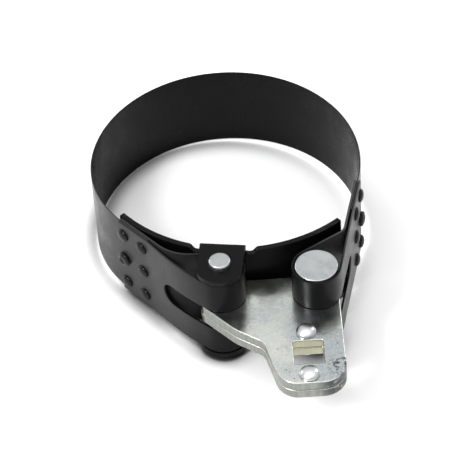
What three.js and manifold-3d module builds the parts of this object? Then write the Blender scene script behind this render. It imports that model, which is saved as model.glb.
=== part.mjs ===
// Oil filter wrench: a steel band that goes round a spin-on filter, two riveted straps that
// end in loops, and a two-plate lever with a square drive hole that closes the band.
// Millimetres, +Z up. The model is drawn with the ring's centre at x = y = 0 and the band's
// lower edge at z = 0, and is then shifted so that its origin is the bottom centre of its box.
import * as THREE from 'three';
import { mergeVertices } from 'three/addons/utils/BufferGeometryUtils.js';
import Module from 'manifold-3d';

const wasm = await Module();
wasm.setup();

// ---- driving dimensions ----------------------------------------------------------------
const BAND_WIDTH = 42;          // height of the band and of both straps
const BAND_THICKNESS = 0.6;
const STRAP_THICKNESS = 1;
const LAYER_GAP = 0.15;         // paint and air between the layers of a riveted joint
const RING_RADIUS = 60.5;       // to the middle of the band's thickness

const LEFT_PIVOT = [-5.2, -65.8];    // lever, left strap and shoe turn about this pin
const RIGHT_PIVOT = [36.4, -67.6];  // lever and right strap turn about this pin
const LOOP_INNER_RADIUS = 9.9;  // leaves the link pin room, because the straps flex as they close
const SLOT_HEIGHT = 11.2;       // window in each strap that the lever passes through
const SLOT_DROP = 0.65;         // the window's middle below the band's
const MID_HEIGHT = BAND_WIDTH / 2;

const LEFT_LEG_ANGLE = -48.4;   // direction of the left joint, from ring to lever
const RIGHT_LEG_ANGLE = -103.5; // direction of the right joint, from ring to lever
const LEFT_LEG_OFFSET = 58.57;  // ring centre to the outer face of the left joint
const LEFT_FLATTEN_FROM = -190; // where the ring begins to straighten into each joint
const RIGHT_FLATTEN_FROM = 25;
const LEFT_FIRST_RIVET = 2.3;   // from the end of the ring's arc to the first column of rivets
const RIGHT_FIRST_RIVET = 5.4;
const LEFT_SLOT_REACH = 20.5;   // from the loop to the middle of the slot's round end
const RIGHT_SLOT_REACH = 20.8;
const LEFT_LEG_BOW = 1.7;       // the bowed leg lies this far outside its chord at the slot's end

const RIVET_PITCH = 11.7;       // between the two columns of a joint
const RIVET_ROW_PITCH = 14.6;
const RIVET_SHANK_RADIUS = 2;
const RIVET_HEAD_RADIUS = 3.1;
const RIVET_HEAD_RISE = 1.6;
const WIDE_HEAD_RADIUS = 3.4;   // the flat rivet in the middle of each joint's outer column
const WIDE_HEAD_RISE = 1.9;

const PLATE_THICKNESS = 4.5;    // each lever plate
const PLATE_GAP = 0.3;
const DRIVE_SQUARE = 13;        // for a 12.7 mm (1/2 in) square drive
const DRIVE_CENTRE = [30.3, -102.5];
const LEVER_REAR_Y = -58;
const LEVER_FRONT_Y = -120.2;
const LEVER_RIGHT_X = 45.9;
const LEVER_LEFT_X = -13.8;

const PIN_RADIUS = 4.76;        // 3/8 in pivot pin
const LINK_SHANK_RADIUS = 6;    // link pin, through the lever
const BARREL_RADIUS = 9.4;      // bushes and link pin inside the loops
const HOLE_CLEARANCE = 0.15;

const SHOE_THICKNESS = 2.4;
const SHOE_RADIUS = 66;         // inner face
const SHOE_LEFT_ANGLE = 44.3;   // from the pin to the end of each wing
const SHOE_RIGHT_ANGLE = 47;
const SHOE_TURN = -8.4;         // shoe's own turn about the pivot pin
const SHOE_FACE = 11.2;         // pivot pin centre to the outer face of the shoe
const WING_LOW = 0.8;           // heights of the wings' edges
const WING_HIGH = 41.2;
const EAR_WIDTH = 19.8;
const EAR_THICKNESS = 2.4;
const EAR_CLEARANCE = 0.6;      // between the straps' edges and each ear
const EAR_FRONT_RADIUS = 11.2;
const EAR_BEND_RADIUS = 4.8;    // outside of the bend
const EAR_BEND_INSIDE = 1.2;
const NOTCH_WIDTH = 3.8;
const NOTCH_DEPTH = 1.8;
const TAB_INSET = 0.4;          // each ear's tab stands this far behind the wall's face

// ---- materials ---------------------------------------------------------------------------
const blackPaint = new THREE.MeshStandardMaterial({ color: 0x1b1a1c, roughness: 0.38, metalness: 0.1 });
const blackRivet = new THREE.MeshStandardMaterial({ color: 0x161517, roughness: 0.3, metalness: 0.2 });
const zincPlate = new THREE.MeshStandardMaterial({ color: 0xc9cdc6, roughness: 0.22, metalness: 0.9 });
const brightSteel = new THREE.MeshStandardMaterial({ color: 0xcfd6dc, roughness: 0.28, metalness: 1 });

// ---- small helpers -----------------------------------------------------------------------
const rad = THREE.MathUtils.degToRad;
const dot = (p, q) => p[0] * q[0] + p[1] * q[1];
const polar = (angle, radius) => [radius * Math.cos(rad(angle)), radius * Math.sin(rad(angle))];
const add = (p, q) => [p[0] + q[0], p[1] + q[1]];

// Prism from an outline in plan, between two heights.
function prism(outline, low, high) {
  const shape = outline instanceof THREE.Shape
    ? outline
    : new THREE.Shape(outline.map(([x, y]) => new THREE.Vector2(x, y)));
  const depth = high - low;
  const geometry = new THREE.ExtrudeGeometry(shape, { depth, bevelEnabled: false, curveSegments: 12 });
  return geometry.translate(0, 0, low);
}

// Turned piece on a vertical axis: profile is [radius, height] pairs from bottom to top.
function turned(profile, centre, segments = 32) {
  const points = profile.map(([r, z]) => new THREE.Vector2(r, z));
  const geometry = new THREE.LatheGeometry(points, segments);
  return geometry.rotateX(Math.PI / 2).translate(centre[0], centre[1], 0);
}

// Turned piece that leans: its own axis is rotated to a direction in plan.
function turnedAlong(profile, centre, height, direction, segments = 16) {
  const points = profile.map(([r, z]) => new THREE.Vector2(r, z));
  const geometry = new THREE.LatheGeometry(points, segments);
  geometry.rotateX(Math.PI / 2).rotateY(Math.PI / 2).rotateZ(rad(direction));
  return geometry.translate(centre[0], centre[1], height);
}

function toSolid(geometry) {
  const plain = geometry.clone();
  plain.deleteAttribute('normal');
  plain.deleteAttribute('uv');
  const merged = mergeVertices(plain, 1e-4);
  return new wasm.Manifold(new wasm.Mesh({
    numProp: 3,
    vertProperties: new Float32Array(merged.attributes.position.array),
    triVerts: new Uint32Array(merged.index.array),
  }));
}

function toGeometry(solid) {
  const mesh = solid.getMesh();
  const geometry = new THREE.BufferGeometry();
  geometry.setAttribute('position', new THREE.BufferAttribute(mesh.vertProperties, 3));
  geometry.setIndex(new THREE.BufferAttribute(mesh.triVerts, 1));
  geometry.computeVertexNormals();
  return geometry;
}

const cut = (geometry, cutters) => toGeometry(
  cutters.reduce((solid, cutter) => solid.subtract(toSolid(cutter)), toSolid(geometry)));
const join = (parts) => parts.map(toSolid).reduce((whole, part) => whole.add(part));

// A pen that draws the middle line of a bent strip with straight runs and arcs.
class StripPath {
  constructor(start, heading) {
    this.heading = heading;
    this.points = [start];
  }
  get end() { return this.points[this.points.length - 1]; }
  line(length) {
    this.points.push(add(this.end, polar(this.heading, length)));
    return this;
  }
  // turn > 0 bends to the left; step is the angle of each facet
  arc(radius, turn, step = 8) {
    const side = Math.sign(turn) * 90;
    const centre = add(this.end, polar(this.heading + side, radius));
    const facets = Math.max(1, Math.ceil(Math.abs(turn) / step));
    for (let i = 1; i <= facets; i += 1) {
      this.points.push(add(centre, polar(this.heading - side + (turn * i) / facets, radius)));
    }
    this.heading += turn;
    return this;
  }
}

// Outline of a strip of even thickness along a middle line.
function stripOutline(points, thickness) {
  const sideAt = points.map((point, i) => {
    const before = points[Math.max(i - 1, 0)];
    const after = points[Math.min(i + 1, points.length - 1)];
    const a = Math.atan2(point[1] - before[1], point[0] - before[0]);
    const b = Math.atan2(after[1] - point[1], after[0] - point[0]);
    const first = i === 0 ? b : a;
    const last = i === points.length - 1 ? a : b;
    const half = Math.atan2(Math.sin(last - first), Math.cos(last - first)) / 2;
    const normal = first + half + Math.PI / 2;
    const reach = thickness / 2 / Math.cos(half);
    return [reach * Math.cos(normal), reach * Math.sin(normal)];
  });
  const left = points.map((point, i) => add(point, sideAt[i]));
  const right = points.map((point, i) => add(point, [-sideAt[i][0], -sideAt[i][1]]));
  return [...left, ...right.reverse()];
}

// Outline with a rounded corner at each [x, y, radius].
function roundedOutline(corners) {
  const shape = new THREE.Shape();
  corners.forEach(([x, y, radius], i) => {
    const before = corners[(i + corners.length - 1) % corners.length];
    const after = corners[(i + 1) % corners.length];
    const arrive = new THREE.Vector2(x - before[0], y - before[1]).normalize();
    const leave = new THREE.Vector2(after[0] - x, after[1] - y).normalize();
    const turn = Math.atan2(arrive.cross(leave), arrive.dot(leave));
    const reach = radius * Math.tan(Math.abs(turn) / 2);
    const start = new THREE.Vector2(x, y).addScaledVector(arrive, -reach);
    const side = Math.sign(turn);
    const centre = new THREE.Vector2(-arrive.y * side, arrive.x * side).multiplyScalar(radius).add(start);
    const from = Math.atan2(start.y - centre.y, start.x - centre.x);
    if (i === 0) shape.moveTo(start.x, start.y);
    else shape.lineTo(start.x, start.y);
    shape.absarc(centre.x, centre.y, radius, from, from + turn, turn < 0);
  });
  shape.closePath();
  return shape;
}

function circleHole([x, y], radius) {
  return new THREE.Path().absarc(x, y, radius, 0, 2 * Math.PI, true);
}

// ---- where the two riveted joints lie ----------------------------------------------------
// Each joint is a stack, from outside: outer leg, band, inner leg.
function joint(angle, side, offset, flattenFrom, firstRivet) {
  const normal = angle - 90 * side;
  const bandOffset = offset - STRAP_THICKNESS - LAYER_GAP - BAND_THICKNESS / 2;
  // the ring's end arc is tighter than the ring, so that it meets the joint's straight
  const shrink = (RING_RADIUS - bandOffset) / (1 - Math.cos(rad(normal - flattenFrom)));
  const centre = polar(flattenFrom, shrink);
  const radius = RING_RADIUS - shrink;
  const tangent = add(centre, polar(normal, radius));
  const place = (along, across) => add(add(tangent, polar(angle, along)), polar(normal, across));
  const outerFace = offset - bandOffset;
  const rivetsAt = [firstRivet, firstRivet + RIVET_PITCH];
  return { angle, normal, radius, place, outerFace, flattenFrom, rivetsAt };
}
const leftJoint = joint(LEFT_LEG_ANGLE, 1, LEFT_LEG_OFFSET, LEFT_FLATTEN_FROM, LEFT_FIRST_RIVET);
// the right leg runs straight into its loop, so its line touches the loop
const rightLegOffset = dot(polar(RIGHT_LEG_ANGLE + 90, 1), RIGHT_PIVOT) + LOOP_INNER_RADIUS + STRAP_THICKNESS;
const rightJoint = joint(RIGHT_LEG_ANGLE, -1, rightLegOffset, RIGHT_FLATTEN_FROM, RIGHT_FIRST_RIVET);
const RIVET_ROWS = [MID_HEIGHT + RIVET_ROW_PITCH, MID_HEIGHT, MID_HEIGHT - RIVET_ROW_PITCH];
const RIVET_EDGE = 3.2;         // rivet centre to the strap's end
const BAND_TAIL = 3.4;          // rivet centre to the band's end
const HOLE_RADIUS = RIVET_SHANK_RADIUS + HOLE_CLEARANCE;
const COUNTERSINK_RADIUS = 2.9; // inner heads are flush, so that the shoe can slide past them
const COUNTERSINK_DEPTH = 0.9;

function rivetHoles(side) {
  const reach = 6;
  const face = -side.outerFace;
  const sink = COUNTERSINK_RADIUS + HOLE_CLEARANCE;
  const hole = [
    [0, -reach], [sink, -reach], [sink, face], [HOLE_RADIUS, face + COUNTERSINK_DEPTH],
    [HOLE_RADIUS, reach], [0, reach],
  ];
  return side.rivetsAt.flatMap((along) => RIVET_ROWS.map((height) => turnedAlong(
    hole, side.place(along, 0), height, side.normal)));
}

// ---- band ----------------------------------------------------------------------------------
function makeBand() {
  const rightEnd = rightJoint.rivetsAt[1] + BAND_TAIL;
  const leftEnd = leftJoint.rivetsAt[1] + BAND_TAIL;
  const facet = 4;
  const path = new StripPath(rightJoint.place(rightEnd, 0), rightJoint.angle + 180)
    .line(rightEnd)
    .arc(rightJoint.radius, rightJoint.flattenFrom - rightJoint.normal, facet)
    .arc(RING_RADIUS, 360 + leftJoint.flattenFrom - rightJoint.flattenFrom, facet)
    .arc(leftJoint.radius, leftJoint.normal - leftJoint.flattenFrom, facet)
    .line(leftEnd);
  const blank = prism(stripOutline(path.points, BAND_THICKNESS), 0, BAND_WIDTH);
  return cut(blank, [...rivetHoles(leftJoint), ...rivetHoles(rightJoint)]);
}

// ---- straps --------------------------------------------------------------------------------
const MID_RADIUS = LOOP_INNER_RADIUS + STRAP_THICKNESS / 2;
const SLOT_MIDDLE = MID_HEIGHT - SLOT_DROP;
const SLOT_LOW = SLOT_MIDDLE - SLOT_HEIGHT / 2;
const SLOT_HIGH = SLOT_MIDDLE + SLOT_HEIGHT / 2;
const LOOP_CUT_RADIUS = 12.6;

// Slot along the outer leg, with a round end, and on round the loop.
function slotCutters(pivot, roundEnd, direction) {
  const across = 3;
  const length = Math.hypot(pivot[0] - roundEnd[0], pivot[1] - roundEnd[1]);
  const run = new THREE.BoxGeometry(length, 2 * across, SLOT_HEIGHT);
  run.translate(length / 2, 0, 0).rotateZ(rad(direction)).translate(roundEnd[0], roundEnd[1], SLOT_MIDDLE);
  const half = SLOT_HEIGHT / 2;
  const nose = turnedAlong([[0, -across], [half, -across], [half, across], [0, across]],
    roundEnd, SLOT_MIDDLE, direction + 90, 24);
  const disc = [[0, SLOT_LOW], [LOOP_CUT_RADIUS, SLOT_LOW], [LOOP_CUT_RADIUS, SLOT_HIGH], [0, SLOT_HIGH]];
  const ring = turned(disc, pivot);
  return [run, nose, ring];
}

function makeLeftStrap() {
  const legLayer = leftJoint.outerFace - STRAP_THICKNESS / 2;
  const flat = leftJoint.rivetsAt[1] + BAND_TAIL;
  const outerStart = leftJoint.place(leftJoint.rivetsAt[0] - RIVET_EDGE, legLayer);
  const outerEnd = leftJoint.place(flat, legLayer);
  const loopStart = 230;        // where the outer leg meets the loop, seen from the pivot
  const loopTurn = 222;
  const touch = add(LEFT_PIVOT, polar(loopStart, MID_RADIUS));
  const bow = 14;
  const free = new THREE.CubicBezierCurve(
    new THREE.Vector2(...outerEnd),
    new THREE.Vector2(...add(outerEnd, polar(LEFT_LEG_ANGLE - 6, bow))),
    new THREE.Vector2(...add(touch, polar(loopStart - 90, bow))),
    new THREE.Vector2(...touch));
  const path = new StripPath(outerStart, LEFT_LEG_ANGLE);
  path.points.push(...free.getPoints(12).map((p) => [p.x, p.y]));
  path.heading = loopStart + 90;
  path.arc(MID_RADIUS, loopTurn, 9);
  // the inner leg runs back from the loop and bends to lie on the band
  const innerStart = leftJoint.place(leftJoint.rivetsAt[0] - RIVET_EDGE, -legLayer);
  const back = path.heading;
  const bend = LEFT_LEG_ANGLE + 180 + 360 - back;
  const bendRadius = 20;
  const tangentLength = bendRadius * Math.tan(rad(Math.abs(bend) / 2));
  // corner where the run from the loop would cross the line of the inner leg
  const reach = crossing(path.end, back, innerStart, LEFT_LEG_ANGLE);
  path.line(reach - tangentLength).arc(bendRadius, bend, 6);
  path.points.push(innerStart);
  const chordEnd = add(touch, polar(LEFT_LEG_ANGLE + 180, LEFT_SLOT_REACH));
  const roundEnd = add(chordEnd, polar(leftJoint.normal, LEFT_LEG_BOW));
  const blank = prism(stripOutline(path.points, STRAP_THICKNESS), 0, BAND_WIDTH);
  return cut(blank, [...rivetHoles(leftJoint), ...slotCutters(LEFT_PIVOT, roundEnd, LEFT_LEG_ANGLE)]);
}

// Distance from p along its heading to the line through q.
function crossing(p, headingP, q, headingQ) {
  const a = polar(headingP, 1);
  const b = polar(headingQ, 1);
  const dx = q[0] - p[0];
  const dy = q[1] - p[1];
  return (dx * -b[1] + dy * b[0]) / (a[0] * -b[1] + a[1] * b[0]);
}

function makeRightStrap() {
  const legLayer = rightJoint.outerFace - STRAP_THICKNESS / 2;
  const outerStart = rightJoint.place(rightJoint.rivetsAt[0] - RIVET_EDGE, legLayer);
  const loopStart = rightJoint.normal;
  const loopTurn = -225;
  const touch = add(RIGHT_PIVOT, polar(loopStart, MID_RADIUS));
  const path = new StripPath(outerStart, RIGHT_LEG_ANGLE);
  path.points.push(touch);
  path.arc(MID_RADIUS, loopTurn, 9);
  const innerStart = rightJoint.place(rightJoint.rivetsAt[0] - RIVET_EDGE, -legLayer);
  const bend = RIGHT_LEG_ANGLE - 180 - path.heading;
  const bendRadius = 5;
  const tangentLength = bendRadius * Math.tan(rad(Math.abs(bend) / 2));
  const reach = crossing(path.end, path.heading, innerStart, RIGHT_LEG_ANGLE);
  path.line(reach - tangentLength).arc(bendRadius, bend, 9);
  path.points.push(innerStart);
  const roundEnd = add(touch, polar(RIGHT_LEG_ANGLE + 180, RIGHT_SLOT_REACH));
  const blank = prism(stripOutline(path.points, STRAP_THICKNESS), 0, BAND_WIDTH);
  return cut(blank, [...rivetHoles(rightJoint), ...slotCutters(RIGHT_PIVOT, roundEnd, RIGHT_LEG_ANGLE)]);
}

// ---- band rivets -----------------------------------------------------------------------------
const DOME_STEPS = 4;
function dome(radius, rise, base) {
  return Array.from({ length: DOME_STEPS + 1 }, (_, i) => {
    const angle = (Math.PI / 2) * (i / DOME_STEPS);
    return [radius * Math.cos(angle), base + rise * Math.sin(angle)];
  });
}

function makeBandRivet(side, along, height, wide) {
  const outside = side.outerFace + LAYER_GAP;
  const inside = -side.outerFace;
  const flatTop = outside + WIDE_HEAD_RISE;
  const chamfer = 0.5;
  const head = wide
    ? [[WIDE_HEAD_RADIUS, outside], [WIDE_HEAD_RADIUS, flatTop - chamfer],
      [WIDE_HEAD_RADIUS - chamfer, flatTop], [0, flatTop]]
    : dome(RIVET_HEAD_RADIUS, RIVET_HEAD_RISE, outside);
  const profile = [
    [0, inside], [COUNTERSINK_RADIUS, inside], [RIVET_SHANK_RADIUS, inside + COUNTERSINK_DEPTH],
    [RIVET_SHANK_RADIUS, outside], ...head,
  ];
  profile[profile.length - 1][0] = 0;
  return turnedAlong(profile, side.place(along, 0), height, side.normal);
}

// ---- lever -----------------------------------------------------------------------------------
const LOWER_PLATE = [MID_HEIGHT - PLATE_GAP / 2 - PLATE_THICKNESS, MID_HEIGHT - PLATE_GAP / 2];
const UPPER_PLATE = [MID_HEIGHT + PLATE_GAP / 2, MID_HEIGHT + PLATE_GAP / 2 + PLATE_THICKNESS];
const LEVER_RIVETS = [[29.9, -90.9], [29.9, -115]];
const LEVER_RIVET_SHANK = 3.2;
const LEVER_RIVET_HEAD = 4.45;
const LEVER_RIVET_RISE = 2.4;

function leverShape() {
  const shape = roundedOutline([
    [LEVER_LEFT_X, -72.7, 3.5],
    [-0.5, -87.1, 22],
    [11.6, -95.5, 7],
    [17.8, LEVER_FRONT_Y, 10],
    [LEVER_RIGHT_X, LEVER_FRONT_Y, 10.5],
    [LEVER_RIGHT_X, LEVER_REAR_Y, 9],
    [LEVER_LEFT_X, LEVER_REAR_Y, 7.5],
  ]);
  const half = DRIVE_SQUARE / 2;
  const [x, y] = DRIVE_CENTRE;
  shape.holes.push(new THREE.Path([[-1, -1], [-1, 1], [1, 1], [1, -1]].map(
    ([a, b]) => new THREE.Vector2(x + a * half, y + b * half))));
  shape.holes.push(circleHole(LEFT_PIVOT, PIN_RADIUS + HOLE_CLEARANCE));
  shape.holes.push(circleHole(RIGHT_PIVOT, LINK_SHANK_RADIUS + HOLE_CLEARANCE));
  LEVER_RIVETS.forEach((centre) => shape.holes.push(circleHole(centre, LEVER_RIVET_SHANK + HOLE_CLEARANCE)));
  return shape;
}

function makeLeverRivet(centre) {
  const top = UPPER_PLATE[1] + LAYER_GAP;
  const bottom = LOWER_PLATE[0] - LAYER_GAP;
  const upper = dome(LEVER_RIVET_HEAD, LEVER_RIVET_RISE, top);
  const lower = upper.map(([r, z]) => [r, bottom + top - z]).reverse();
  const profile = [...lower, [LEVER_RIVET_SHANK, bottom], [LEVER_RIVET_SHANK, top], ...upper];
  profile[0][0] = 0;
  profile[profile.length - 1][0] = 0;
  return turned(profile, centre, 24);
}

// ---- pins and bushes ---------------------------------------------------------------------------
const EAR_LOW = BAND_WIDTH + EAR_CLEARANCE;
const EAR_HIGH = EAR_LOW + EAR_THICKNESS;
const PIN_PROUD = 2.4;          // peened end above each ear

function makePivotPin() {
  const top = EAR_HIGH + PIN_PROUD;
  const bottom = BAND_WIDTH - top;
  const edge = 0.5;
  return turned([
    [0, bottom], [PIN_RADIUS - edge, bottom], [PIN_RADIUS, bottom + edge],
    [PIN_RADIUS, top - edge], [PIN_RADIUS - edge, top], [0, top],
  ], LEFT_PIVOT);
}

function makeBush(low, high) {
  const bore = PIN_RADIUS + HOLE_CLEARANCE;
  const section = [[bore, low], [BARREL_RADIUS, low], [BARREL_RADIUS, high], [bore, high], [bore, low]];
  return turned(section, LEFT_PIVOT);
}

const PIN_FLUSH = 0.2;          // link pin's ends stand this far past the strap's edges
const SHANK_REACH = 9;          // of the link pin, into the collar below the lever
function makeLinkPin() {
  const shoulder = UPPER_PLATE[1] + LAYER_GAP;
  const tip = LOWER_PLATE[0] - SHANK_REACH;
  const edge = 0.4;
  const top = BAND_WIDTH + PIN_FLUSH;
  return turned([
    [0, tip], [LINK_SHANK_RADIUS, tip], [LINK_SHANK_RADIUS, shoulder], [BARREL_RADIUS, shoulder],
    [BARREL_RADIUS, top - edge], [BARREL_RADIUS - edge, top], [0, top],
  ], RIGHT_PIVOT);
}

function makeLinkCollar() {
  const high = LOWER_PLATE[0] - LAYER_GAP;
  const bore = LINK_SHANK_RADIUS + HOLE_CLEARANCE;
  const tip = LOWER_PLATE[0] - SHANK_REACH - LAYER_GAP;
  const edge = 0.4;
  return turned([
    [0, -PIN_FLUSH], [BARREL_RADIUS - edge, -PIN_FLUSH], [BARREL_RADIUS, edge - PIN_FLUSH],
    [BARREL_RADIUS, high], [bore, high], [bore, tip], [0, tip],
  ], RIGHT_PIVOT);
}

// ---- shoe ----------------------------------------------------------------------------------------
// Drawn about the pivot pin with its wall behind the pin, then turned by SHOE_TURN.
function makeShoe() {
  const outerRadius = SHOE_RADIUS + SHOE_THICKNESS;
  const centreY = SHOE_FACE + outerRadius;
  const wallPath = new StripPath(
    add([0, centreY], polar(270 - SHOE_LEFT_ANGLE, SHOE_RADIUS + SHOE_THICKNESS / 2)), -SHOE_LEFT_ANGLE);
  wallPath.arc(SHOE_RADIUS + SHOE_THICKNESS / 2, SHOE_LEFT_ANGLE + SHOE_RIGHT_ANGLE, 4);
  const wall = prism(stripOutline(wallPath.points, SHOE_THICKNESS), WING_LOW, WING_HIGH);

  // an ear: the tab rises from the wall, bends forward over the straps and is round at its end
  const tabFace = SHOE_FACE + TAB_INSET;
  const tab = (low, flip) => {
    const back = tabFace + SHOE_THICKNESS;
    const lip = back - EAR_BEND_RADIUS - 1;
    const profile = new THREE.Shape();
    profile.moveTo(tabFace, low);
    profile.lineTo(back, low);
    profile.absarc(back - EAR_BEND_RADIUS, EAR_HIGH - EAR_BEND_RADIUS, EAR_BEND_RADIUS, 0, Math.PI / 2, false);
    profile.lineTo(lip, EAR_HIGH);
    profile.lineTo(lip, EAR_LOW);
    profile.absarc(tabFace - EAR_BEND_INSIDE, EAR_LOW - EAR_BEND_INSIDE, EAR_BEND_INSIDE, Math.PI / 2, 0, true);
    profile.closePath();
    const bent = prism(profile, -EAR_WIDTH / 2, EAR_WIDTH / 2);
    // profile drawn in (y, z): stand it up so that its extrusion runs along x
    bent.rotateX(Math.PI / 2).rotateZ(Math.PI / 2);
    const front = new THREE.Shape();
    const half = EAR_WIDTH / 2;
    const sweep = Math.asin(half / EAR_FRONT_RADIUS);
    front.moveTo(half, tabFace + SHOE_THICKNESS - EAR_BEND_RADIUS);
    front.lineTo(-half, tabFace + SHOE_THICKNESS - EAR_BEND_RADIUS);
    front.absarc(0, 0, EAR_FRONT_RADIUS, Math.PI * 1.5 - sweep, Math.PI * 1.5 + sweep, false);
    front.closePath();
    const flat = prism(front, EAR_LOW, EAR_HIGH);
    const ear = join([bent, flat]);
    return flip ? ear.mirror([0, 0, 1]).translate([0, 0, BAND_WIDTH]) : ear;
  };
  const notch = (side, low, high) => {
    const inner = side * EAR_WIDTH / 2;
    const box = new THREE.BoxGeometry(NOTCH_WIDTH, 12, high - low);
    return box.translate(inner + side * NOTCH_WIDTH / 2, SHOE_FACE + SHOE_THICKNESS / 2, (low + high) / 2);
  };
  const tabRoot = WING_HIGH - NOTCH_DEPTH - 1;
  let shoe = toSolid(wall);
  [[-1, WING_HIGH - NOTCH_DEPTH, WING_HIGH + 1], [1, WING_HIGH - NOTCH_DEPTH, WING_HIGH + 1],
    [-1, WING_LOW - 1, WING_LOW + NOTCH_DEPTH], [1, WING_LOW - 1, WING_LOW + NOTCH_DEPTH],
  ].forEach(([side, low, high]) => { shoe = shoe.subtract(toSolid(notch(side, low, high))); });
  shoe = shoe.add(tab(tabRoot, false)).add(tab(tabRoot, true));
  const bore = PIN_RADIUS + HOLE_CLEARANCE;
  shoe = shoe.subtract(toSolid(turned([[0, -20], [bore, -20], [bore, 80], [0, 80]], [0, 0])));
  const geometry = toGeometry(shoe);
  return geometry.rotateZ(rad(SHOE_TURN)).translate(LEFT_PIVOT[0], LEFT_PIVOT[1], 0);
}

// ---- assembly ------------------------------------------------------------------------------------
const wrench = new THREE.Group();
function addPart(name, geometry, material) {
  const mesh = new THREE.Mesh(geometry, material);
  mesh.name = name;
  wrench.add(mesh);
}

addPart('band', makeBand(), blackPaint);
addPart('left_strap', makeLeftStrap(), blackPaint);
addPart('right_strap', makeRightStrap(), blackPaint);
addPart('shoe', makeShoe(), blackPaint);
[['left', leftJoint], ['right', rightJoint]].forEach(([sideName, side]) => {
  side.rivetsAt.forEach((along, column) => {
    RIVET_ROWS.forEach((height, row) => {
      const wide = column === 0 && row === 1;
      const columnName = ['end', 'leg'][column];
      const rowName = ['upper', 'middle', 'lower'][row];
      const rivet = makeBandRivet(side, along, height, wide);
      addPart(`${sideName}_rivet_${columnName}_${rowName}`, rivet, blackRivet);
    });
  });
});
addPart('lever_upper_plate', prism(leverShape(), ...UPPER_PLATE), zincPlate);
addPart('lever_lower_plate', prism(leverShape(), ...LOWER_PLATE), zincPlate);
addPart('lever_rivet_rear', makeLeverRivet(LEVER_RIVETS[0]), zincPlate);
addPart('lever_rivet_front', makeLeverRivet(LEVER_RIVETS[1]), zincPlate);
addPart('pivot_pin', makePivotPin(), brightSteel);
const upperBush = makeBush(UPPER_PLATE[1] + LAYER_GAP, EAR_LOW - LAYER_GAP);
const lowerBush = makeBush(BAND_WIDTH - EAR_LOW + LAYER_GAP, LOWER_PLATE[0] - LAYER_GAP);
addPart('pivot_bush_upper', upperBush, brightSteel);
addPart('pivot_bush_lower', lowerBush, brightSteel);
addPart('link_pin', makeLinkPin(), brightSteel);
addPart('link_pin_collar', makeLinkCollar(), brightSteel);

// origin at the bottom centre of the whole wrench's box
const box = new THREE.Box3().setFromObject(wrench);
const middle = box.getCenter(new THREE.Vector3());
wrench.position.set(-middle.x, -middle.y, -box.min.z);

export default wrench;
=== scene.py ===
"""The looks of an oil filter wrench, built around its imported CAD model.

Shapes are drawn in millimetres in the wrench's own plan: the ring's centre is at x = y = 0 and
the band's lower edge is at z = 0. to_row() turns them into metres in the frame of the CAD model.
"""
import bisect
import math

import bmesh
import bpy
from mathutils import Matrix, Vector


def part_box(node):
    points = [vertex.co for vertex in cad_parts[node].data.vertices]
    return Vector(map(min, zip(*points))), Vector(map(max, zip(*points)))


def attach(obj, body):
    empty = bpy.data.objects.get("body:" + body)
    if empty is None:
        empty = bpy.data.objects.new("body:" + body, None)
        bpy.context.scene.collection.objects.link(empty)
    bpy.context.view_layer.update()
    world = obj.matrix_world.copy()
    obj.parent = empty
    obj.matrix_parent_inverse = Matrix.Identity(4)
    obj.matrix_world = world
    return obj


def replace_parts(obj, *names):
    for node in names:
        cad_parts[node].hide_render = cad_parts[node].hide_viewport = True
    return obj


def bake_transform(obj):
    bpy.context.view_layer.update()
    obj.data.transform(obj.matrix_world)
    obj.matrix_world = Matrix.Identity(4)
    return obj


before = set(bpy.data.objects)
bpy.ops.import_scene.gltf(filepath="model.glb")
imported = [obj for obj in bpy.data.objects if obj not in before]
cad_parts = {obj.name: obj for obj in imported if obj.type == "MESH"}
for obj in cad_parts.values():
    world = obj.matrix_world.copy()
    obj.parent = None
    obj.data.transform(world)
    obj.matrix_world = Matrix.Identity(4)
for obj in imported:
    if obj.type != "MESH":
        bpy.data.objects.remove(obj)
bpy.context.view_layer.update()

MM = 0.001

# ---- driving dimensions, in millimetres and degrees --------------------------------------------
LEFT_PIVOT = Vector((-5.2, -65.8))
RIGHT_PIVOT = Vector((36.4, -67.6))
RING_RADIUS = 60.5
BAND_WIDTH = 42.0
BAND_THICKNESS = 0.6
STRAP_THICKNESS = 1.0
LAYER_GAP = 0.15
MID_HEIGHT = BAND_WIDTH / 2
LOOP_MID_RADIUS = 10.4

BAND_ROUNDING = 0.14
STRAP_ROUNDING = 0.24
SHOE_ROUNDING = 0.35
PLATE_ROUNDING = 0.5
SHARP_ANGLE = 38

SLOT_HALF = 5.6
SLOT_MIDDLE = MID_HEIGHT - 0.65
SLOT_CORNER = 1.0
LOOP_CUT_RADIUS = 12.6

BACK_ANGLE = 90.0
LEFT_LEG_ANGLE = -48.4
RIGHT_LEG_ANGLE = -103.5
LEFT_LEG_OFFSET = 58.57
RIVET_PITCH = 11.7
RIVET_ROWS = (MID_HEIGHT + 14.6, MID_HEIGHT, MID_HEIGHT - 14.6)
RIVET_EDGE = 3.2
BAND_TAIL = 3.4
RIVET_SHANK = 2.0
RIVET_SINK = 2.9
RIVET_SINK_DEPTH = 0.9
WIDE_HEAD_RADIUS = 3.4
WIDE_HEAD_WALL = 0.9
WIDE_HEAD_ROUNDING = 0.7
DOMED_HEAD_RADIUS = 3.1
DOMED_HEAD_WALL = 0.25
DOMED_HEAD_RISE = 1.35
DOME_INSET = 0.1

PLATE_THICKNESS = 4.5
PLATE_GAP = 0.3
DRIVE_CENTRE = Vector((30.3, -102.5))
DRIVE_SQUARE = 13.0
DRIVE_CORNER = 0.5
LEVER_RIVET_SHANK = 3.2
LEVER_RIVET_HEAD = 4.45
LEVER_RIVET_RISE = 2.4
LEVER_RIVETS = (Vector((29.9, -90.9)), Vector((29.9, -115.0)))
PLATES_TOP = MID_HEIGHT + PLATE_GAP / 2 + PLATE_THICKNESS
PLATES_FOOT = BAND_WIDTH - PLATES_TOP

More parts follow.
